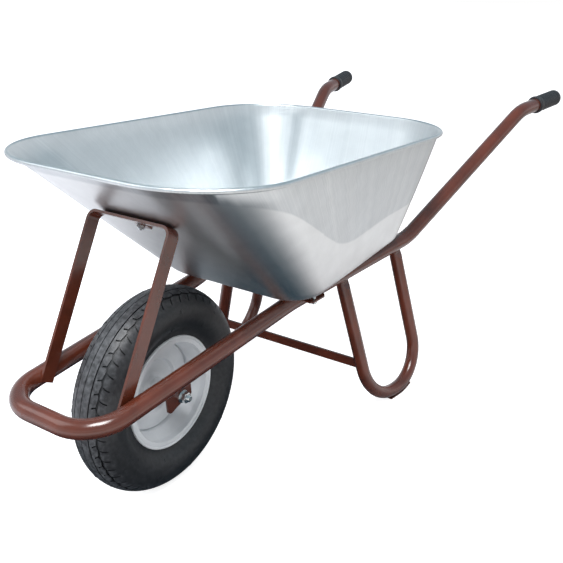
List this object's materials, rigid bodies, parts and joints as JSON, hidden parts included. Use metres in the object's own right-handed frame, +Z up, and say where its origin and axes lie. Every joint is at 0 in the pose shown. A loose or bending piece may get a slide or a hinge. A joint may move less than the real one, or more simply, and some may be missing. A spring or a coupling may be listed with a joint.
{
  "type": "wheelbarrow",
  "caption": "Builder's wheelbarrow: bent tube frame with looped legs and rubber grips, pressed steel tray with a rolled edge, and one air-filled wheel on an axle bolt.",
  "frame": {"origin": "on the ground under the middle of the whole barrow", "axes": "+Z up, +Y back towards the handles, +X towards the left hand of the person who pushes it"},
  "size_m": [0.6904, 1.5527, 0.6629],
  "materials": {
    "frame_paint": "glossy red-brown paint",
    "galvanised_sheet": "bright galvanised sheet with faint drawing marks",
    "grip_rubber": "dull dark grey rubber",
    "tyre_rubber": "dull black rubber",
    "tube_rubber": "smooth black rubber",
    "rim_paint": "silver-grey enamel",
    "zinc_steel": "bright zinc plating",
    "black_plastic": "dull black nylon",
    "wear_steel": "dark paint over steel"
  },
  "bodies": {
    "frame": {"frame_tube": "frame_paint", "left_leg": "frame_paint", "right_leg": "frame_paint", "left_wear_plate": "wear_steel", "right_wear_plate": "wear_steel", "leg_brace": "frame_paint", "front_strap": "frame_paint", "strap_tab": "frame_paint", "left_axle_bracket": "frame_paint", "right_axle_bracket": "frame_paint", "side_tabs": "frame_paint", "left_grip": "grip_rubber", "right_grip": "grip_rubber", "tray": "galvanised_sheet", "rim_wire": "zinc_steel", "tray_bolts": "zinc_steel", "tray_washers": "zinc_steel", "tray_nuts": "zinc_steel", "axle_bolt": "zinc_steel", "axle_nut": "zinc_steel", "axle_washers": "zinc_steel", "left_spacer": "zinc_steel", "right_spacer": "zinc_steel"},
    "wheel": {"tyre": "tyre_rubber", "inner_tube": "tube_rubber", "valve_stem": "tube_rubber", "valve_cap": "black_plastic", "wheel_rim": "rim_paint", "wheel_disc": "rim_paint", "hub_tube": "rim_paint", "left_bush": "black_plastic", "right_bush": "black_plastic"}
  },
  "joints": [
    {"name": "wheel_spin", "type": "hinge", "parent": "frame", "child": "wheel", "pos_m": [0, -0.48807, 0.203], "axis": [1, 0, 0], "continuous": true}
  ]
}
